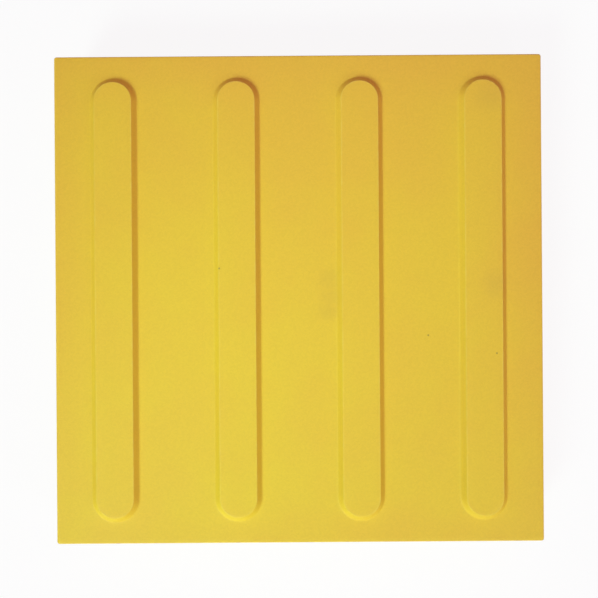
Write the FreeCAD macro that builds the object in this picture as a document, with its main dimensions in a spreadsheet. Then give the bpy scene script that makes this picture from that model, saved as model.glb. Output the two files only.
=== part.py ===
# Tactile paving slab: a square cast slab whose walking face carries raised, flat-topped guidance bars
# with rounded ends. Millimetres. The origin is the middle of the bed face, +Z is up and the bars run along Y.
import FreeCAD, Part
import math
import os

import Sketcher

SIZES = (
    ("slab_module", 300, "side of the bed face, which is the laying module"),
    ("joint_width", 2, "joint left open between two walking faces laid bed edge to bed edge"),
    ("slab_thickness", 50, "bed face to walking face"),
    ("corner_radius", 1.5, "rounding of the four corners of the walking face"),
    ("arris_radius", 0.8, "rounding of the edge of the walking face"),
    ("bar_count", 4, "raised bars on one slab"),
    ("bar_end_margin", 13.5, "edge of the walking face to the foot of a bar's end"),
    ("bar_top_width", 22.5, "width of a bar's flat top"),
    ("bar_wall_run", 3, "how far a bar's wall leans in from foot to top"),
    ("bar_height", 4, "walking face to bar top"),
    ("bar_foot_radius", 1.5, "hollow rounding at the foot of a bar"),
    ("bar_edge_radius", 0.4, "rounding of the edge of a bar's top"),
)

# Sizes that follow from the sheet. The bar pitch makes the row of bars run on evenly across the joints.
FACE_SIDE = "(Sizes.slab_module - Sizes.joint_width)"
SIDE_LEAN = "Sizes.joint_width / 2"
BED_CORNER_RADIUS = "Sizes.corner_radius + " + SIDE_LEAN
BAR_PITCH = "(Sizes.slab_module / Sizes.bar_count)"
BAR_ROW_LENGTH = "(Sizes.bar_count - 1) * " + BAR_PITCH
BAR_TOP_LEVEL = "Sizes.slab_thickness + Sizes.bar_height"
BAR_FOOT_WIDTH = "(Sizes.bar_top_width + 2 * Sizes.bar_wall_run)"
BAR_STRAIGHT = FACE_SIDE + " - 2 * Sizes.bar_end_margin - " + BAR_FOOT_WIDTH

LEVEL_TOLERANCE = 1e-4

doc = FreeCAD.newDocument("tactile_slab")


def write_sizes():
    """Put every driving size in the sheet, with its meaning beside it."""
    sheet = doc.addObject("Spreadsheet::Sheet", "Sizes")
    for row, (name, value, meaning) in enumerate(SIZES, start=1):
        sheet.set("A%d" % row, meaning)
        sheet.set("B%d" % row, str(value))
        sheet.setAlias("B%d" % row, name)
    doc.recompute()


def worked_out(expression):
    """The number that an expression in the sheet's sizes comes to."""
    return float(doc.getObject("Sizes").evalExpression(expression))


def origin_feature(body, role):
    """The body's own origin plane or axis that has this role."""
    return next(item for item in body.Origin.OriginFeatures if item.Role == role)


def flat_sketch(body, name):
    """An empty sketch on the plane of the bed face."""
    sketch = body.newObject("Sketcher::SketchObject", name)
    sketch.AttachmentSupport = (origin_feature(body, "XY_Plane"), [""])
    sketch.MapMode = "FlatFace"
    return sketch


def drive(sketch, name, expression, kind, *points):
    """Add a dimension to the sketch and tie it to the sheet."""
    index = sketch.addConstraint(Sketcher.Constraint(kind, *points, worked_out(expression)))
    sketch.renameConstraint(index, name)
    sketch.setExpression("Constraints." + name, expression)


def bed_outline(body):
    """The square of the bed face about the Z axis, with its corners rounded."""
    sketch = flat_sketch(body, "bed_outline")
    half = worked_out("Sizes.slab_module") / 2
    radius = worked_out(BED_CORNER_RADIUS)
    inset = half - radius
    up = FreeCAD.Vector(0, 0, 1)
    for quarter in range(4):
        turn = FreeCAD.Rotation(up, 90 * quarter)
        start = turn.multVec(FreeCAD.Vector(-inset, -half, 0))
        end = turn.multVec(FreeCAD.Vector(inset, -half, 0))
        corner = Part.Circle(turn.multVec(FreeCAD.Vector(inset, -inset, 0)), up, radius)
        angle = math.pi / 2 * (quarter - 1)
        sketch.addGeometry(Part.LineSegment(start, end), False)
        sketch.addGeometry(Part.ArcOfCircle(corner, angle, angle + math.pi / 2), False)
    for index in range(8):
        sketch.addConstraint(Sketcher.Constraint("Tangent", index, 2, (index + 1) % 8, 1))
    for side, lie in ((0, "Horizontal"), (2, "Vertical"), (4, "Horizontal"), (6, "Vertical")):
        sketch.addConstraint(Sketcher.Constraint(lie, side))
    for corner in (3, 5, 7):
        sketch.addConstraint(Sketcher.Constraint("Equal", 1, corner))
    sketch.addConstraint(Sketcher.Constraint("Symmetric", 1, 3, 5, 3, -1, 1))
    drive(sketch, "corner_radius", BED_CORNER_RADIUS, "Radius", 1)
    drive(sketch, "side_x", "Sizes.slab_module", "DistanceX", 6, 1, 2, 1)
    drive(sketch, "side_y", "Sizes.slab_module", "DistanceY", 0, 1, 4, 1)
    return sketch


def bar_foot_outline(body):
    """The foot of the first bar: two straight sides along Y, closed by two half circles."""
    sketch = flat_sketch(body, "bar_foot_outline")
    sketch.setExpression("AttachmentOffset.Base.z", "Sizes.slab_thickness")
    radius = worked_out(BAR_FOOT_WIDTH) / 2
    middle = -worked_out(BAR_ROW_LENGTH) / 2
    reach = worked_out(BAR_STRAIGHT) / 2
    near = FreeCAD.Vector(middle, -reach, 0)
    far = FreeCAD.Vector(middle, reach, 0)
    across = FreeCAD.Vector(radius, 0, 0)
    up = FreeCAD.Vector(0, 0, 1)
    far_end = Part.Circle(far, up, radius)
    near_end = Part.Circle(near, up, radius)
    sketch.addGeometry(Part.ArcOfCircle(far_end, 0, math.pi), False)
    sketch.addGeometry(Part.LineSegment(far - across, near - across), False)
    sketch.addGeometry(Part.ArcOfCircle(near_end, math.pi, 2 * math.pi), False)
    sketch.addGeometry(Part.LineSegment(near + across, far + across), False)
    for index in range(4):
        sketch.addConstraint(Sketcher.Constraint("Tangent", index, 2, (index + 1) % 4, 1))
    sketch.addConstraint(Sketcher.Constraint("Vertical", 1))
    sketch.addConstraint(Sketcher.Constraint("Symmetric", 0, 3, 2, 3, -1))
    drive(sketch, "end_radius", BAR_FOOT_WIDTH + " / 2", "Radius", 0)
    drive(sketch, "straight", BAR_STRAIGHT, "DistanceY", 2, 3, 0, 3)
    drive(sketch, "from_middle", BAR_ROW_LENGTH + " / 2", "DistanceX", 0, 3, -1, 1)
    return sketch


def drafted_pad(body, name, outline, height, run):
    """A solid raised from its outline, whose walls lean in by a run over its height."""
    feature = body.newObject("PartDesign::Pad", name)
    feature.Profile = outline
    feature.setExpression("Length", height)
    feature.setExpression("TaperAngle", "-atan(%s / %s)" % (run, height))
    doc.recompute()
    return feature


def round_edges(body, name, base, edges, radius):
    """Round the named edges of the base feature with a radius from the sheet."""
    feature = body.newObject("PartDesign::Fillet", name)
    feature.Base = (base, edges)
    feature.setExpression("Radius", radius)
    doc.recompute()
    return feature


def edges_where(feature, wanted):
    """Names of the feature's edges whose bounding box passes a test."""
    numbered = enumerate(feature.Shape.Edges, start=1)
    return ["Edge%d" % number for number, edge in numbered if wanted(edge.BoundBox)]


def lies_at(box, level):
    """Whether an edge's box lies flat at a level."""
    return max(abs(box.ZMin - level), abs(box.ZMax - level)) < LEVEL_TOLERANCE


def slab_blank(body):
    """The drafted slab without its bars."""
    drafted_pad(body, "blank", bed_outline(body), "Sizes.slab_thickness", SIDE_LEAN)


def guidance_bars(body):
    """One drafted bar, repeated across the walking face."""
    bar = drafted_pad(body, "bar", bar_foot_outline(body), "Sizes.bar_height", "Sizes.bar_wall_run")
    row = body.newObject("PartDesign::LinearPattern", "bar_row")
    row.Originals = [bar]
    row.Direction = (origin_feature(body, "X_Axis"), [""])
    row.setExpression("Length", BAR_ROW_LENGTH)
    row.setExpression("Occurrences", "Sizes.bar_count")
    body.Tip = row
    doc.recompute()
    return row


def soften(body, row):
    """Round the feet of the bars, the edges of their tops and the edge of the walking face."""
    face_level = worked_out("Sizes.slab_thickness")
    bar_level = worked_out(BAR_TOP_LEVEL)
    bar_reach = worked_out(BAR_STRAIGHT + " + " + BAR_FOOT_WIDTH) / 2

    def is_rim(box):
        return max(abs(box.Center.x), abs(box.Center.y)) > bar_reach

    feet = edges_where(row, lambda box: lies_at(box, face_level) and not is_rim(box))
    footed = round_edges(body, "bar_feet", row, feet, "Sizes.bar_foot_radius")
    tops = edges_where(footed, lambda box: lies_at(box, bar_level))
    topped = round_edges(body, "bar_edges", footed, tops, "Sizes.bar_edge_radius")
    rim = edges_where(topped, lambda box: lies_at(box, face_level) and is_rim(box))
    return round_edges(body, "arris", topped, rim, "Sizes.arris_radius")


def check():
    """Stop if any feature failed or any shape is empty or invalid."""
    for item in doc.Objects:
        if "Invalid" in item.State or "Error" in item.State:
            raise RuntimeError("%s has state %s" % (item.Name, item.State))
        if item.isDerivedFrom("PartDesign::Feature") or item.isDerivedFrom("PartDesign::Body"):
            if item.Shape.isNull() or not item.Shape.isValid():
                raise RuntimeError("%s has no valid shape" % item.Name)


def build():
    """Model the slab and write it out."""
    write_sizes()
    body = doc.addObject("PartDesign::Body", "tactile_slab")
    body.Label = "tactile_slab"
    slab_blank(body)
    body.Tip = soften(body, guidance_bars(body))
    doc.recompute()
    check()
    os.makedirs("parts", exist_ok=True)
    body.Shape.exportStep("parts/tactile_slab.step")


build()
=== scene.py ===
"""Yellow tactile paving slab: the cast piece and its finishes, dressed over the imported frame."""

import math

import bpy
import numpy as np
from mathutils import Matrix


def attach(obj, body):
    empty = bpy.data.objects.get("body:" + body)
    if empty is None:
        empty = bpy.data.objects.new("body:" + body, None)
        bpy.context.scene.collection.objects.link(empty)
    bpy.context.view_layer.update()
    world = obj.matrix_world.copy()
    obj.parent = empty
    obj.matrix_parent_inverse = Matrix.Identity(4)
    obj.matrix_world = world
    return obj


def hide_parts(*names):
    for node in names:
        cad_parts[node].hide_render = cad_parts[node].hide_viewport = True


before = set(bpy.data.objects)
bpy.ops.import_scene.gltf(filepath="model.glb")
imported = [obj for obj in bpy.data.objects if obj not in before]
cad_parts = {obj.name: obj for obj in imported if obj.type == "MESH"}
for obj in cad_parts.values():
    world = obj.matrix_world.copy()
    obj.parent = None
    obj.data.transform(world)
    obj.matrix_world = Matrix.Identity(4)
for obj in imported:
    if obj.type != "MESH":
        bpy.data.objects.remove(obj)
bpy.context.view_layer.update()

MM = 0.001

# Sizes of the casting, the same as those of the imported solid
FACE_HALF = 149 * MM
BED_HALF = 150 * MM
FACE_LEVEL = 50 * MM
CORNER_RADIUS = 1.5 * MM
ARRIS_RADIUS = 0.8 * MM
BED_EDGE_RADIUS = 0.5 * MM
BAR_PITCH = 75 * MM
BAR_CENTRES = np.array([-1.5, -0.5, 0.5, 1.5]) * BAR_PITCH
BAR_CORE_HALF = 121.25 * MM
BAR_TOP_HALF = 11.25 * MM
BAR_WALL_RUN = 3 * MM
BAR_HEIGHT = 4 * MM
BAR_FOOT_RADIUS = 1.5 * MM
BAR_EDGE_RADIUS = 0.4 * MM

# How finely each stretch of the casting is divided
SIDE_STEPS = 104
END_STEPS = 12
FAR_STEPS = 32
CORNER_STEPS = 4
BAR_TOP_STEPS = 6
BAR_EDGE_STEPS = 6
BAR_WALL_STEPS = 4
BAR_FOOT_STEPS = 8
APRON_STEPS = 8
ARRIS_STEPS = 7
WALL_STEPS = 14
BED_EDGE_STEPS = 5
BED_RINGS = 18
WELD_STEP = 0.0001 * MM
SHARP_ANGLE = math.radians(40)

# How far in from the round edge of a bar the rubbed band of its top reaches
RUB_REACH = 2 * MM

# Numbers of the casting's finishes
FACE_FINISH, SIDE_FINISH, BED_FINISH = range(3)

# Colours of the through-coloured concrete, as linear red, green, blue and opacity
LEMON = (0.765, 0.602, 0.036, 1)
AMBER = (0.765, 0.465, 0.05, 1)
PALE_BED = (0.74, 0.58, 0.13, 1)
RUBBED = (0.80, 0.65, 0.13, 1)
LIME = (0.78, 0.68, 0.32, 1)
# Painted shade for the inside of pinholes and air holes, standing in for the shade in those hollows
PAINTED_HOLE_SHADE = (0.30, 0.16, 0.015, 1)
SMUDGE_BROWN = (0.36, 0.24, 0.06, 1)
SPECK_BROWN = (0.15, 0.09, 0.03, 1)

# Colour of the walking face: how fast it deepens along x, y and z for each metre, partly a drift of the
# pigment and partly painted shade where the light falls off towards the far right corner; where the deeper
# rim starts and how much deeper the rim is
FACE_LEAN_AND_SHADE = (0.75, 1.75, 0)
RIM_START = 112 * MM
RIM_DEPTH = 0.2

# How far smudges are drawn out of their round shape, and how many sways there are to a metre
SMUDGE_SWAY = 8 * MM
SWAYS_PER_METRE = 110

# Floor: how far it reaches, how far it lies below the bed, how white it shows near the slab, and the
# distances from the middle between which that rises to plain white
FLOOR_REACH = 30.0
FLOOR_DROP = 0.2 * MM
NEAR_WHITE = 0.9
SHADOW_REACH = 0.25
PLAIN_REACH = 0.9

# Camera: its distance above the walking face, its roll, and pixels across the photograph and the slab in it
CAMERA_DISTANCE = 0.51
CAMERA_ROLL = math.radians(-0.4)
PHOTO_WIDTH = 598
SLAB_IN_PHOTO = 487.2
SENSOR_WIDTH = 36

# Colour of both lamps
LAMP_COLOUR = (0.715, 1.0, 0.83)

# Colour of the fill light from above, and how it changes towards the right and towards the far side
FILL_ABOVE = (0.51, 0.29, 0.42)
FILL_RIGHTWARD = (0.12, 0.0, 0.08)
FILL_FARWARD = (-0.2, -0.12, -0.13)

# Marks on the walking face: x, y, level and size in millimetres
SPECKS = [(-48.3, 18.9, 54, 0.9), (78.9, -22.7, 50, 0.9), (119.9, -33.7, 54, 0.9)]
SMUDGES = [(19, 12, 50, 10), (20, 1, 50, 10), (18, -8, 50, 8), (120, 8.5, 54, 12), (117, 121.7, 54, 14)]

# Kinds of socket on a node group
PLACE = "NodeSocketVector"
COLOUR = "NodeSocketColor"
VALUE = "NodeSocketFloat"

SIDE_LEAN = math.atan2(BED_HALF - FACE_HALF, FACE_LEVEL)
ARRIS_SETBACK = ARRIS_RADIUS * math.tan((math.pi / 2 - SIDE_LEAN) / 2)
FLAT_HALF = FACE_HALF - ARRIS_SETBACK
FLAT_CORNER = CORNER_RADIUS - ARRIS_SETBACK


def run(start, end, steps):
    """Points on a straight line from start towards end, evenly spaced, without the end itself."""
    t = np.arange(steps)[:, None] / steps
    return (1 - t) * np.array(start, float) + t * np.array(end, float)


def quarter(centre, radius, first, steps):
    """Points on a quarter circle about a centre, anticlockwise from the first angle, without its end."""
    angle = first + np.arange(steps) / steps * math.pi / 2
    return np.array(centre) + radius * np.stack([np.cos(angle), np.sin(angle)], 1)


def bar_section():
    """Section of a bar from its middle line out to its foot, as reach from the line and rise above the face.

    Flat top, then a round edge of the edge radius, a straight leaning wall, and a hollow round of the foot
    radius that meets the face flat. Each round turns through the wall's slope. The third array is the wear,
    1 on the round edge, where feet rub it, falling evenly to 0 across the rubbed band of the top.
    """
    slope = math.atan2(BAR_HEIGHT, BAR_WALL_RUN)
    edge_setback = BAR_EDGE_RADIUS * math.tan(slope / 2)
    foot_setback = BAR_FOOT_RADIUS * math.tan(slope / 2)
    top_reach = np.linspace(0, BAR_TOP_HALF - edge_setback, BAR_TOP_STEPS + 1)
    top_rise = np.full(len(top_reach), BAR_HEIGHT)
    edge_turn = np.linspace(0, slope, BAR_EDGE_STEPS + 1)[1:]
    edge_reach = top_reach[-1] + BAR_EDGE_RADIUS * np.sin(edge_turn)
    edge_rise = BAR_HEIGHT - BAR_EDGE_RADIUS * (1 - np.cos(edge_turn))
    foot_turn = np.linspace(slope, 0, BAR_FOOT_STEPS + 1)
    foot_end = BAR_TOP_HALF + BAR_WALL_RUN + foot_setback
    foot_reach = foot_end - BAR_FOOT_RADIUS * np.sin(foot_turn)
    foot_rise = BAR_FOOT_RADIUS * (1 - np.cos(foot_turn))
    share = np.arange(1, BAR_WALL_STEPS) / BAR_WALL_STEPS
    wall_reach = edge_reach[-1] + share * (foot_reach[0] - edge_reach[-1])
    wall_rise = edge_rise[-1] + share * (foot_rise[0] - edge_rise[-1])
    reach = np.concatenate([top_reach, edge_reach, wall_reach, foot_reach])
    rise = np.concatenate([top_rise, edge_rise, wall_rise, foot_rise])
    top_wear = np.clip(1 - (top_reach[-1] - top_reach) / RUB_REACH, 0, 1)
    unworn = np.zeros(len(wall_reach) + len(foot_reach))
    wear = np.concatenate([top_wear, np.ones(BAR_EDGE_STEPS), unworn])
    return reach, rise, wear


def bay_border(left, right, left_round, right_round):
    """Border of the bay of face round one bar, anticlockwise from the near end of its right side.

    A rectangle that reaches left and right of the bar's middle line and to both ends of the flat face. Its
    left and right corners are rounded by their own radii, which are 0 where two bays meet.
    """
    ends = FLAT_HALF
    core = BAR_CORE_HALF
    return np.concatenate([
        run((right, -core), (right, core), SIDE_STEPS),
        run((right, core), (right, ends - right_round), END_STEPS),
        quarter((right - right_round, ends - right_round), right_round, 0, CORNER_STEPS),
        run((right - right_round, ends), (left_round - left, ends), FAR_STEPS),
        quarter((left_round - left, ends - left_round), left_round, math.pi / 2, CORNER_STEPS),
        run((-left, ends - left_round), (-left, core), END_STEPS),
        run((-left, core), (-left, -core), SIDE_STEPS),
        run((-left, -core), (-left, left_round - ends), END_STEPS),
        quarter((left_round - left, left_round - ends), left_round, math.pi, CORNER_STEPS),
        run((left_round - left, -ends), (right - right_round, -ends), FAR_STEPS),
        quarter((right - right_round, right_round - ends), right_round, 1.5 * math.pi, CORNER_STEPS),
        run((right, right_round - ends), (right, -core), END_STEPS),
    ])


def bar_bay(centre, border):
    """One bay of the face with its bar, as a grid of border points by steps outwards.

    From each border point a straight line runs in to the nearest point of the bar's core line. The bar's
    section is laid off along it from the core, and the flat face fills the rest out to the border. The
    fourth column carries the wear of the bar's edge.
    """
    core = np.stack([np.zeros(len(border)), np.clip(border[:, 1], -BAR_CORE_HALF, BAR_CORE_HALF)], 1)
    out = border - core
    length = np.linalg.norm(out, axis=1, keepdims=True)
    reach, rise, wear = bar_section()
    share = np.arange(1, APRON_STEPS + 1) / APRON_STEPS
    apron = reach[-1] + share * (length - reach[-1])
    along = np.concatenate([np.broadcast_to(reach, (len(border), len(reach))), apron], 1)
    flat = core[:, None] + (out / length)[:, None] * along[..., None]
    grid = np.zeros(along.shape + (4,))
    grid[..., 0] = flat[..., 0] + centre
    grid[..., 1] = flat[..., 1]
    grid[..., 2] = FACE_LEVEL
    grid[:, : len(rise), 2] += rise
    grid[:, : len(wear), 3] = wear
    return grid


def grid_faces(rows, columns, first):
    """Triangles of a grid whose rows close on themselves, numbered from a first point, two to a square."""
    row = first + np.arange(rows * columns).reshape(rows, columns)
    next_row = np.roll(row, -1, 0)
    outer = np.stack([row[:, :-1], row[:, 1:], next_row[:, 1:]], -1)
    inner = np.stack([row[:, :-1], next_row[:, 1:], next_row[:, :-1]], -1)
    return np.concatenate([outer.reshape(-1, 3), inner.reshape(-1, 3)])


def weld(points, faces):
    """Merge points that coincide to a tenth of a micron, and drop the faces that lose a corner by it."""
    keys = np.round(points[:, :3] / WELD_STEP).astype(np.int64)
    _, first, same = np.unique(keys, axis=0, return_index=True, return_inverse=True)
    faces = same.reshape(-1)[faces]
    whole = (faces[:, 0] != faces[:, 1]) & (faces[:, 1] != faces[:, 2]) & (faces[:, 2] != faces[:, 0])
    return points[first], faces[whole], whole


def walking_face():
    """The four bays with their bars, joined into one sheet that ends where the rounded arris begins."""
    outer = FLAT_HALF - BAR_CENTRES[-1]
    half = BAR_PITCH / 2
    borders = [
        bay_border(outer, half, FLAT_CORNER, 0),
        bay_border(half, half, 0, 0),
        bay_border(half, half, 0, 0),
        bay_border(half, outer, 0, FLAT_CORNER),
    ]
    grids = np.stack([bar_bay(centre, border) for centre, border in zip(BAR_CENTRES, borders)])
    bays, rows, columns = grids.shape[:3]
    faces = [grid_faces(rows, columns, bay * rows * columns) for bay in range(bays)]
    points, faces, _ = weld(grids.reshape(-1, 4), np.concatenate(faces))
    return points, faces


def rim_of(faces, points):
    """Numbers of the sheet's rim points in order round the slab: those on edges that only one face has."""
    edges = np.sort(np.concatenate([faces[:, [0, 1]], faces[:, [1, 2]], faces[:, [2, 0]]]), 1)
    single, uses = np.unique(edges, axis=0, return_counts=True)
    rim = np.unique(single[uses == 1])
    return rim[np.argsort(np.arctan2(points[rim, 1], points[rim, 0]))]


def side_section():
    """Section of a side from the face's rim down to the bed, as outward offset and level.

    A quarter-round arris, a straight wall that leans out towards the bed, and a small round into the bed.
    """
    steepest = math.pi / 2 - SIDE_LEAN
    turn = np.linspace(0, steepest, ARRIS_STEPS + 1)[1:]
    arris_out = ARRIS_RADIUS * np.sin(turn)
    arris_level = FACE_LEVEL - ARRIS_RADIUS * (1 - np.cos(turn))
    bed_setback = BED_EDGE_RADIUS * math.tan((math.pi - steepest) / 2)
    bed_turn = np.linspace(steepest, math.pi, BED_EDGE_STEPS + 1)
    bed_centre = BED_HALF - FLAT_HALF - bed_setback
    bed_out = bed_centre + BED_EDGE_RADIUS * np.sin(bed_turn)
    bed_level = BED_EDGE_RADIUS * (1 + np.cos(bed_turn))
    share = np.arange(1, WALL_STEPS) / WALL_STEPS
    wall_out = arris_out[-1] + share * (bed_out[0] - arris_out[-1])
    wall_level = arris_level[-1] + share * (bed_level[0] - arris_level[-1])
    return (
        np.concatenate([arris_out, wall_out, bed_out]),
        np.concatenate([arris_level, wall_level, bed_level]),
    )


def sides_and_bed(rim):
    """The four sides and the bed, carried round the rim, as a grid of rim points by steps down and in.

    The side section is laid off along each rim point's outward direction, which is square to the straight
    edges and radial at the rounded corners. Inside the bed's edge the rings shrink evenly to the middle.
    """
    inner = np.clip(rim[:, :2], FLAT_CORNER - FLAT_HALF, FLAT_HALF - FLAT_CORNER)
    out = rim[:, :2] - inner
    out = out / np.linalg.norm(out, axis=1, keepdims=True)
    offset, level = side_section()
    wall = rim[:, None, :2] + out[:, None] * offset[:, None]
    shrink = 1 - np.arange(1, BED_RINGS + 1) / BED_RINGS
    bed = wall[:, -1:] * shrink[:, None]
    bed_from = 1 + len(offset)
    grid = np.zeros((len(rim), bed_from + BED_RINGS, 4))
    grid[:, 0] = rim
    grid[:, 1:bed_from, :2] = wall
    grid[:, 1:bed_from, 2] = level
    grid[:, bed_from:, :2] = bed
    grid[:, 1 : 1 + ARRIS_STEPS, 3] = 1
    return grid


def casting():
    """The whole closed casting: points with wear, faces, and which finish each face has."""
    face_points, face_faces = walking_face()
    rim = rim_of(face_faces, face_points)
    grid = sides_and_bed(face_points[rim])
    rows, columns = grid.shape[:2]
    lower = grid_faces(rows, columns, len(face_points))
    column = np.tile(np.arange(columns - 1), rows)
    bed_from = columns - 1 - BED_RINGS
    side_or_bed = np.where(column < bed_from, SIDE_FINISH, BED_FINISH)
    lower_finish = np.where(column < ARRIS_STEPS, FACE_FINISH, side_or_bed)
    finish = np.concatenate([np.full(len(face_faces), FACE_FINISH), lower_finish, lower_finish])
    points = np.concatenate([face_points, grid.reshape(-1, 4)])
    points, faces, whole = weld(points, np.concatenate([face_faces, lower]))
    return points, faces, finish[whole]


def mesh_piece(name, points, faces, finish, materials):
    """A mesh object from points with wear, triangles and a finish number for each triangle."""
    mesh = bpy.data.meshes.new(name)
    mesh.from_pydata(points[:, :3].tolist(), [], faces.tolist())
    for material in materials:
        mesh.materials.append(material)
    mesh.polygons.foreach_set("material_index", finish.astype(np.int32))
    mesh.polygons.foreach_set("use_smooth", np.ones(len(faces), bool))
    wear = mesh.attributes.new("wear", "FLOAT", "POINT")
    wear.data.foreach_set("value", points[:, 3].astype(np.float32))
    mesh.set_sharp_from_angle(angle=SHARP_ANGLE)
    mesh.update()
    piece = bpy.data.objects.new(name, mesh)
    bpy.context.collection.objects.link(piece)
    return piece


def add(tree, kind, sockets=None, **settings):
    """Add a node to a tree with its settings, and fill its input sockets, named by label or number.

    A socket of another node is linked, and anything else is set as the value.
    """
    node = tree.nodes.new(kind)
    for name, value in settings.items():
        setattr(node, name, value)
    for name, value in (sockets or {}).items():
        if isinstance(value, bpy.types.NodeSocket):
            tree.links.new(value, node.inputs[name])
        else:
            node.inputs[name].default_value = value
    return node


def step_of(tree, operation, *values):
    """One step of arithmetic on values."""
    return add(tree, "ShaderNodeMath", dict(enumerate(values)), operation=operation).outputs[0]


def weighed(tree, start, *parts):
    """A start value plus each part's value times its weight."""
    total = start
    for value, weight in parts:
        total = step_of(tree, "MULTIPLY_ADD", value, weight, total)
    return total


def blend(tree, share, first, second):
    """The first colour with a share of the second mixed in."""
    return add(tree, "ShaderNodeMix", {0: share, 6: first, 7: second}, data_type="RGBA").outputs[2]


def stained_or_shaded(tree, colour, mask, strength, stain_or_shade):
    """The colour with a real stain, or with painted shade in holes, laid over it where the mask is 1, at a
    strength.
    """
    return blend(tree, step_of(tree, "MULTIPLY", mask, strength), colour, stain_or_shade)


def soft_step(tree, value, low, high):
    """A smooth rise from 0 where the value is under low to 1 where it is over high."""
    sockets = {"Value": value, "From Min": low, "From Max": high}
    return add(tree, "ShaderNodeMapRange", sockets, interpolation_type="SMOOTHSTEP").outputs[0]


def noise(tree, place, size, detail):
    """Smooth noise from 0 to 1 whose lumps are about as wide as a size in metres."""
    scale = step_of(tree, "DIVIDE", 1.0, size)
    sockets = {"Vector": place, "Scale": scale, "Detail": detail}
    return add(tree, "ShaderNodeTexNoise", sockets).outputs["Fac"]


def new_group(name, inputs, outputs):
    """An empty node group with named sockets, and the ends that its nodes are wired to."""
    tree = bpy.data.node_groups.new(name, "ShaderNodeTree")
    for label, kind in inputs.items():
        tree.interface.new_socket(label, in_out="INPUT", socket_type=kind)
    for label, kind in outputs.items():
        tree.interface.new_socket(label, in_out="OUTPUT", socket_type=kind)
    return tree, add(tree, "NodeGroupInput").outputs, add(tree, "NodeGroupOutput").inputs


def cloudy_pigment():
    """Pigment that lies in broad soft clouds with smaller ones in them, between a pale and a deep tone.

    The share of deep tone is a half, plus a lean that makes one end of the piece deeper than the other, plus
    the cloudiness times a smooth step, taken about its middle, of eight parts broad noise and two parts
    noise of a sixth of its size.
    """
    tree, given, result = new_group(
        "cloudy_pigment",
        {
            "Place": PLACE, "Pale": COLOUR, "Deep": COLOUR,
            "Cloud size": VALUE, "Cloudiness": VALUE, "Lean": VALUE,
        },
        {"Colour": COLOUR},
    )
    small_size = step_of(tree, "DIVIDE", given["Cloud size"], 6.0)
    broad = noise(tree, given["Place"], given["Cloud size"], detail=2.0)
    small = noise(tree, given["Place"], small_size, detail=3.0)
    clouds = weighed(tree, 0.0, (broad, 0.8), (small, 0.2))
    about_middle = step_of(tree, "SUBTRACT", soft_step(tree, clouds, 0.25, 0.75), 0.5)
    leaning = step_of(tree, "ADD", given["Lean"], 0.5)
    share = weighed(tree, leaning, (about_middle, given["Cloudiness"]))
    limited = add(tree, "ShaderNodeClamp", {0: share}).outputs[0]
    tree.links.new(blend(tree, limited, given["Pale"], given["Deep"]), result["Colour"])
    return tree


def sand_grain():
    """Sand and cement paste: each grain a little lighter or darker than the next, and a little proud of it.

    The colour is multiplied by 1 plus the contrast times the sum of grain noise and a chance value for
    each grain, both taken about their middle. The height is the grain noise plus three tenths of the chance
    value.
    """
    tree, given, result = new_group(
        "sand_grain",
        {"Place": PLACE, "Colour": COLOUR, "Grain size": VALUE, "Contrast": VALUE},
        {"Colour": COLOUR, "Height": VALUE},
    )
    paste = noise(tree, given["Place"], given["Grain size"], detail=2.0)
    scale = step_of(tree, "DIVIDE", 1.0, given["Grain size"])
    grains = add(tree, "ShaderNodeTexVoronoi", {"Vector": given["Place"], "Scale": scale})
    chance = add(tree, "ShaderNodeSeparateColor", {0: grains.outputs["Color"]}).outputs[0]
    both = step_of(tree, "SUBTRACT", step_of(tree, "ADD", paste, chance), 1.0)
    tint = weighed(tree, 1.0, (both, given["Contrast"]))
    tinted = add(tree, "ShaderNodeVectorMath", {0: given["Colour"], "Scale": tint}, operation="SCALE")
    tree.links.new(tinted.outputs[0], result["Colour"])
    tree.links.new(weighed(tree, paste, (chance, 0.3)), result["Height"])
    return tree


def air_holes():
    """Pinholes that trapped air leaves: 1 inside a hole and 0 outside.

    Space is cut into cells about as wide as the spacing. A share of the cells, drawn by chance, has a hole
    round its centre, between a third of the hole size and all of it across. The mask falls smoothly from
    three tenths of that width away from the centre to half of it.
    """
    tree, given, result = new_group(
        "air_holes",
        {"Place": PLACE, "Spacing": VALUE, "Hole size": VALUE, "Share": VALUE},
        {"Mask": VALUE},
    )
    scale = step_of(tree, "DIVIDE", 1.0, given["Spacing"])
    cells = add(tree, "ShaderNodeTexVoronoi", {"Vector": given["Place"], "Scale": scale})
    draw = add(tree, "ShaderNodeSeparateColor", {0: cells.outputs["Color"]}).outputs
    drawn = step_of(tree, "LESS_THAN", draw[0], given["Share"])
    spread = weighed(tree, 0.33, (draw[1], 0.67))
    widest = step_of(tree, "MULTIPLY", given["Hole size"], scale)
    across = step_of(tree, "MULTIPLY", widest, spread)
    bottom = step_of(tree, "MULTIPLY", across, 0.3)
    mouth = step_of(tree, "MULTIPLY", across, 0.5)
    outside = soft_step(tree, cells.outputs["Distance"], bottom, mouth)
    inside = step_of(tree, "SUBTRACT", 1.0, outside)
    tree.links.new(step_of(tree, "MULTIPLY", inside, drawn), result["Mask"])
    return tree


def rubbed_edge():
    """Where edges are rubbed: the wear of the piece's edges, broken up by noise.

    The wear is multiplied by noise plus a quarter, and the mask rises smoothly as that goes from 0.45 to 1.
    """
    inputs = {"Place": PLACE, "Wear": VALUE, "Patch size": VALUE}
    tree, given, result = new_group("rubbed_edge", inputs, {"Mask": VALUE})
    patches = noise(tree, given["Place"], given["Patch size"], detail=4.0)
    worn = step_of(tree, "MULTIPLY", given["Wear"], step_of(tree, "ADD", patches, 0.25))
    tree.links.new(soft_step(tree, worn, 0.45, 1.0), result["Mask"])
    return tree


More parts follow.
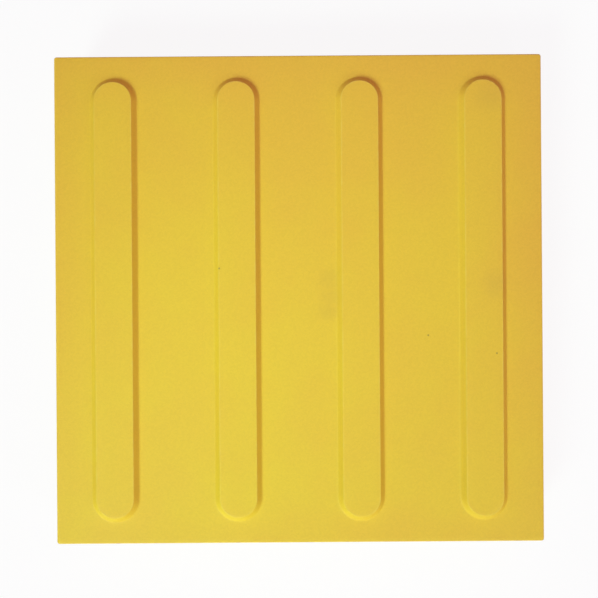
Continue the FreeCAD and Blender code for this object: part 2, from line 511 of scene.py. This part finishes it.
def lime_bloom():
    """Thin pale bloom of lime in soft patches, higher amounts covering more.

    The mask is a smooth step of noise that starts at three quarters less the amount and ends 0.3 above that.
    """
    inputs = {"Place": PLACE, "Patch size": VALUE, "Amount": VALUE}
    tree, given, result = new_group("lime_bloom", inputs, {"Mask": VALUE})
    patches = noise(tree, given["Place"], given["Patch size"], detail=5.0)
    low = step_of(tree, "SUBTRACT", 0.75, given["Amount"])
    high = step_of(tree, "ADD", low, 0.3)
    tree.links.new(soft_step(tree, patches, low, high), result["Mask"])
    return tree


def round_mark():
    """One soft round mark: 1 up to a fifth of its size from its centre, falling smoothly to 0 at its size."""
    inputs = {"Place": PLACE, "Centre": PLACE, "Size": VALUE}
    tree, given, result = new_group("round_mark", inputs, {"Mask": VALUE})
    sockets = {0: given["Place"], 1: given["Centre"]}
    apart = add(tree, "ShaderNodeVectorMath", sockets, operation="DISTANCE")
    share = step_of(tree, "DIVIDE", apart.outputs["Value"], given["Size"])
    tree.links.new(step_of(tree, "SUBTRACT", 1.0, soft_step(tree, share, 0.2, 1.0)), result["Mask"])
    return tree


def use(tree, group, sockets):
    """Put a node group into a material, fill its sockets and give its outputs."""
    return add(tree, "ShaderNodeGroup", sockets, node_tree=group).outputs


def new_finish(name, gloss):
    """A new material with its gloss, its node tree, its shader and the place on the piece."""
    material = bpy.data.materials.new(name)
    material.use_nodes = True
    tree = material.node_tree
    shader = tree.nodes["Principled BSDF"]
    shader.inputs["Specular IOR Level"].default_value = gloss
    place = add(tree, "ShaderNodeTexCoord").outputs["Object"]
    return material, tree, shader, place


def finish_surface(tree, shader, colour, roughness, height):
    """Wire colour, roughness and a height in metres to the shader."""
    bump = add(tree, "ShaderNodeBump", {"Height": height, "Distance": 1.0, "Strength": 1.0})
    tree.links.new(colour, shader.inputs["Base Color"])
    tree.links.new(roughness, shader.inputs["Roughness"])
    tree.links.new(bump.outputs[0], shader.inputs["Normal"])


def marks(tree, group, place, spots):
    """All the round marks of a list of x, y, z and size in millimetres, the strongest at each place."""
    total = 0.0
    for x, y, z, size in spots:
        sockets = {"Place": place, "Centre": (x * MM, y * MM, z * MM), "Size": size * MM}
        total = step_of(tree, "MAXIMUM", use(tree, group, sockets)["Mask"], total)
    return total


def swayed(tree, place):
    """The place plus noise about its middle times the sway, so that round marks there look smeared."""
    sockets = {"Vector": place, "Scale": SWAYS_PER_METRE, "Detail": 2.0}
    drift = add(tree, "ShaderNodeTexNoise", sockets).outputs["Color"]
    sockets = {0: drift, 1: (0.5, 0.5, 0.5)}
    sway = add(tree, "ShaderNodeVectorMath", sockets, operation="SUBTRACT").outputs[0]
    sockets = {0: sway, 1: (SMUDGE_SWAY, SMUDGE_SWAY, SMUDGE_SWAY), 2: place}
    return add(tree, "ShaderNodeVectorMath", sockets, operation="MULTIPLY_ADD").outputs[0]


def face_lean_and_painted_shade(tree, place):
    """How much deeper the face's colour is: its lean along each axis, partly pigment and partly painted shade
    towards the far right, and a smooth rise towards the rim.
    """
    along = add(tree, "ShaderNodeVectorMath", {0: place, 1: FACE_LEAN_AND_SHADE}, operation="DOT_PRODUCT")
    outward = add(tree, "ShaderNodeVectorMath", {0: place}, operation="ABSOLUTE").outputs[0]
    sides = add(tree, "ShaderNodeSeparateXYZ", {0: outward}).outputs
    from_middle = step_of(tree, "MAXIMUM", sides["X"], sides["Y"])
    rim = soft_step(tree, from_middle, RIM_START, FACE_HALF)
    return weighed(tree, along.outputs["Value"], (rim, RIM_DEPTH))


def edge_wear(tree):
    """The wear that the mesh carries for its edges."""
    return add(tree, "ShaderNodeAttribute", attribute_name="wear").outputs["Fac"]


def walking_face_finish(groups):
    """The smooth face that lay against the mould: satin, softly clouded, with rubbed edges and specks."""
    material, tree, shader, place = new_finish("walking_face", gloss=0.28)
    colour = use(tree, groups["cloudy_pigment"], {
        "Place": place, "Pale": LEMON, "Deep": AMBER,
        # The lean deepens the face towards the far right: partly pigment, partly painted shade where the
        # light falls off.
        "Cloud size": 70 * MM, "Cloudiness": 0.3, "Lean": face_lean_and_painted_shade(tree, place),
    })["Colour"]
    grain = use(tree, groups["sand_grain"], {
        "Place": place, "Colour": colour, "Grain size": 0.9 * MM, "Contrast": 0.05,
    })
    rubbed = use(tree, groups["rubbed_edge"], {
        "Place": place, "Wear": edge_wear(tree), "Patch size": 6 * MM,
    })["Mask"]
    pinholes = use(tree, groups["air_holes"], {
        "Place": place, "Spacing": 14 * MM, "Hole size": 0.7 * MM, "Share": 0.25,
    })["Mask"]
    smudges = marks(tree, groups["round_mark"], swayed(tree, place), SMUDGES)
    specks = marks(tree, groups["round_mark"], place, SPECKS)
    colour = stained_or_shaded(tree, grain["Colour"], rubbed, strength=0.35, stain_or_shade=RUBBED)
    colour = stained_or_shaded(tree, colour, smudges, strength=0.1, stain_or_shade=SMUDGE_BROWN)
    # Painted shade inside the pinholes.
    colour = stained_or_shaded(tree, colour, pinholes, strength=0.5, stain_or_shade=PAINTED_HOLE_SHADE)
    colour = stained_or_shaded(tree, colour, specks, strength=0.6, stain_or_shade=SPECK_BROWN)
    sheen = noise(tree, place, 25 * MM, detail=4.0)
    waves = noise(tree, place, 9 * MM, detail=2.0)
    roughness = weighed(tree, 0.44, (sheen, 0.16), (rubbed, -0.08))
    height = weighed(tree, 0.0, (grain["Height"], 0.012 * MM), (waves, 0.05 * MM), (pinholes, -0.2 * MM))
    finish_surface(tree, shader, colour, roughness, height)
    return material


def mould_side_finish(groups):
    """The sides that slid out of the mould: fine drag lines, more pinholes and a little lime bloom."""
    material, tree, shader, place = new_finish("mould_side", gloss=0.3)
    colour = use(tree, groups["cloudy_pigment"], {
        "Place": place, "Pale": LEMON, "Deep": AMBER,
        "Cloud size": 45 * MM, "Cloudiness": 0.6, "Lean": 0.0,
    })["Colour"]
    grain = use(tree, groups["sand_grain"], {
        "Place": place, "Colour": colour, "Grain size": 1.1 * MM, "Contrast": 0.12,
    })
    bloom = use(tree, groups["lime_bloom"], {
        "Place": place, "Patch size": 38 * MM, "Amount": 0.2,
    })["Mask"]
    rubbed = use(tree, groups["rubbed_edge"], {
        "Place": place, "Wear": edge_wear(tree), "Patch size": 5 * MM,
    })["Mask"]
    large = use(tree, groups["air_holes"], {
        "Place": place, "Spacing": 11 * MM, "Hole size": 2.2 * MM, "Share": 0.4,
    })["Mask"]
    small = use(tree, groups["air_holes"], {
        "Place": place, "Spacing": 4 * MM, "Hole size": 0.9 * MM, "Share": 0.3,
    })["Mask"]
    holes = step_of(tree, "MAXIMUM", large, small)
    colour = stained_or_shaded(tree, grain["Colour"], bloom, strength=0.3, stain_or_shade=LIME)
    colour = stained_or_shaded(tree, colour, rubbed, strength=0.4, stain_or_shade=RUBBED)
    # Painted shade inside the air holes.
    colour = stained_or_shaded(tree, colour, holes, strength=0.6, stain_or_shade=PAINTED_HOLE_SHADE)
    upright = add(tree, "ShaderNodeMapping", {"Vector": place, "Scale": (1, 1, 0.06)}).outputs[0]
    drag = noise(tree, upright, 1.6 * MM, detail=3.0)
    roughness = weighed(tree, 0.5, (drag, 0.2), (bloom, 0.1))
    height = weighed(tree, 0.0, (grain["Height"], 0.03 * MM), (drag, 0.06 * MM), (holes, -0.6 * MM))
    finish_surface(tree, shader, colour, roughness, height)
    return material


def bed_finish(groups):
    """The underside, struck off and left open: coarse grain, many holes and patches of lime."""
    material, tree, shader, place = new_finish("struck_bed", gloss=0.25)
    colour = use(tree, groups["cloudy_pigment"], {
        "Place": place, "Pale": PALE_BED, "Deep": AMBER,
        "Cloud size": 60 * MM, "Cloudiness": 0.8, "Lean": -0.1,
    })["Colour"]
    grain = use(tree, groups["sand_grain"], {
        "Place": place, "Colour": colour, "Grain size": 1.8 * MM, "Contrast": 0.3,
    })
    bloom = use(tree, groups["lime_bloom"], {
        "Place": place, "Patch size": 50 * MM, "Amount": 0.3,
    })["Mask"]
    holes = use(tree, groups["air_holes"], {
        "Place": place, "Spacing": 7 * MM, "Hole size": 2.4 * MM, "Share": 0.5,
    })["Mask"]
    colour = stained_or_shaded(tree, grain["Colour"], bloom, strength=0.45, stain_or_shade=LIME)
    # Painted shade inside the holes of the bed.
    colour = stained_or_shaded(tree, colour, holes, strength=0.7, stain_or_shade=PAINTED_HOLE_SHADE)
    swept = add(tree, "ShaderNodeMapping", {"Vector": place, "Scale": (0.15, 1, 1)}).outputs[0]
    strokes = noise(tree, swept, 6 * MM, detail=4.0)
    roughness = weighed(tree, 0.72, (grain["Height"], 0.15))
    height = weighed(tree, 0.0, (grain["Height"], 0.2 * MM), (strokes, 0.5 * MM), (holes, -0.9 * MM))
    finish_surface(tree, shader, colour, roughness, height)
    return material


def seen_rays(tree):
    """1 for rays that show the background, to the camera, in a gloss or through a clear piece, else 0."""
    path = add(tree, "ShaderNodeLightPath").outputs
    seen = step_of(tree, "MAXIMUM", path["Is Camera Ray"], path["Is Glossy Ray"])
    return step_of(tree, "MAXIMUM", seen, path["Is Transmission Ray"])


def pale_floor():
    """A wide white floor that keeps a soft part of the slab's shadow, and further out shows plain white.

    It lies a hair below the bed, so that the two surfaces stay apart.
    """
    edge = np.array([(-1, -1, 0), (1, -1, 0), (1, 1, 0), (-1, 1, 0)]) * FLOOR_REACH
    mesh = bpy.data.meshes.new("floor")
    mesh.from_pydata((edge - (0, 0, FLOOR_DROP)).tolist(), [], [(0, 1, 2, 3)])
    floor = bpy.data.objects.new("floor", mesh)
    bpy.context.collection.objects.link(floor)
    material = bpy.data.materials.new("floor_white")
    material.use_nodes = True
    tree = material.node_tree
    shader = tree.nodes["Principled BSDF"]
    shader.inputs["Base Color"].default_value = (0.9, 0.9, 0.9, 1)
    shader.inputs["Roughness"].default_value = 0.9
    place = add(tree, "ShaderNodeTexCoord").outputs["Object"]
    away = add(tree, "ShaderNodeVectorMath", {0: place}, operation="LENGTH").outputs["Value"]
    far = soft_step(tree, away, SHADOW_REACH, PLAIN_REACH)
    whiteness = weighed(tree, NEAR_WHITE, (far, 1 - NEAR_WHITE))
    share = step_of(tree, "MULTIPLY", seen_rays(tree), whiteness)
    white = add(tree, "ShaderNodeEmission").outputs[0]
    mix = add(tree, "ShaderNodeMixShader", {0: share, 1: shader.outputs[0], 2: white})
    tree.links.new(mix.outputs[0], tree.nodes["Material Output"].inputs["Surface"])
    mesh.materials.append(material)


def soft_spot(name, place, aim, radius, cone, power):
    """A round soft lamp at a place, facing an aim point, whose light fades out towards its cone's edge."""
    light = bpy.data.lights.new(name, "SPOT")
    light.shadow_soft_size = radius
    light.spot_size = cone
    light.spot_blend = 1
    light.energy = power
    light.color = LAMP_COLOUR
    lamp = bpy.data.objects.new(name, light)
    bpy.context.collection.objects.link(lamp)
    lamp.location = place
    toward = np.array(aim) - np.array(place)
    tilt = math.atan2(math.hypot(toward[0], toward[1]), -toward[2])
    lamp.rotation_euler = (tilt, 0, math.atan2(-toward[0], toward[1]))
    lamp.visible_camera = False


def place_at(away, height, bearing):
    """The place at a distance from the middle of the walking face, at a height and a bearing in degrees."""
    flat = away * math.cos(math.radians(height))
    turn = math.radians(bearing)
    level = FACE_LEVEL + away * math.sin(math.radians(height))
    return flat * math.cos(turn), flat * math.sin(turn), level


def studio_light():
    """A large soft lamp from the near left, a weak one from the near right, and a warm fill from the world.

    The colour of the fill is that from above, plus its change towards the right and its change towards the
    far side, each times that part of the direction it comes from. The near side has no change.
    """
    soft_spot(
        "near_left_lamp", place_at(away=1.5, height=44.5, bearing=-125), aim=(-0.012, 0.05, FACE_LEVEL),
        radius=0.33, cone=math.radians(34.6), power=112,
    )
    soft_spot(
        "near_right_lamp", place_at(away=0.7, height=35, bearing=-55), aim=(0.05, -0.08, FACE_LEVEL),
        radius=0.12, cone=math.radians(80), power=3.4,
    )
    world = bpy.data.worlds.new("fill")
    bpy.context.scene.world = world
    world.use_nodes = True
    tree = world.node_tree
    direction = add(tree, "ShaderNodeTexCoord").outputs["Generated"]
    axes = add(tree, "ShaderNodeSeparateXYZ", {0: direction}).outputs
    farward = step_of(tree, "MAXIMUM", axes["Y"], 0.0)
    colour = FILL_ABOVE
    for part, change in ((axes["X"], FILL_RIGHTWARD), (farward, FILL_FARWARD)):
        sockets = {0: part, 1: change, 2: colour}
        colour = add(tree, "ShaderNodeVectorMath", sockets, operation="MULTIPLY_ADD").outputs[0]
    fill = tree.nodes["Background"]
    tree.links.new(colour, fill.inputs["Color"])
    white = add(tree, "ShaderNodeBackground", {"Color": (1, 1, 1, 1)}).outputs[0]
    mix = add(tree, "ShaderNodeMixShader", {0: seen_rays(tree), 1: fill.outputs[0], 2: white})
    tree.links.new(mix.outputs[0], tree.nodes["World Output"].inputs["Surface"])


def camera_above():
    """A camera straight above the slab, turned a little so that the slab lies as in the photograph."""
    frame_width = PHOTO_WIDTH / SLAB_IN_PHOTO * 2 * FACE_HALF
    data = bpy.data.cameras.new("camera")
    data.sensor_width = SENSOR_WIDTH
    data.lens = SENSOR_WIDTH * CAMERA_DISTANCE / frame_width
    camera = bpy.data.objects.new("camera", data)
    bpy.context.collection.objects.link(camera)
    camera.location = (0, 0, FACE_LEVEL + CAMERA_DISTANCE)
    camera.rotation_euler = (0, 0, CAMERA_ROLL)
    bpy.context.scene.camera = camera


bpy.context.scene.view_settings.view_transform = "Standard"

points, faces, finish = casting()
effects = (cloudy_pigment, sand_grain, air_holes, rubbed_edge, lime_bloom, round_mark)
groups = {effect.__name__: effect() for effect in effects}
finishes = [walking_face_finish(groups), mould_side_finish(groups), bed_finish(groups)]
slab = mesh_piece("cast_slab", points, faces, finish, finishes)
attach(slab, "root")
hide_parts("tactile_slab")

pale_floor()
studio_light()
camera_above()
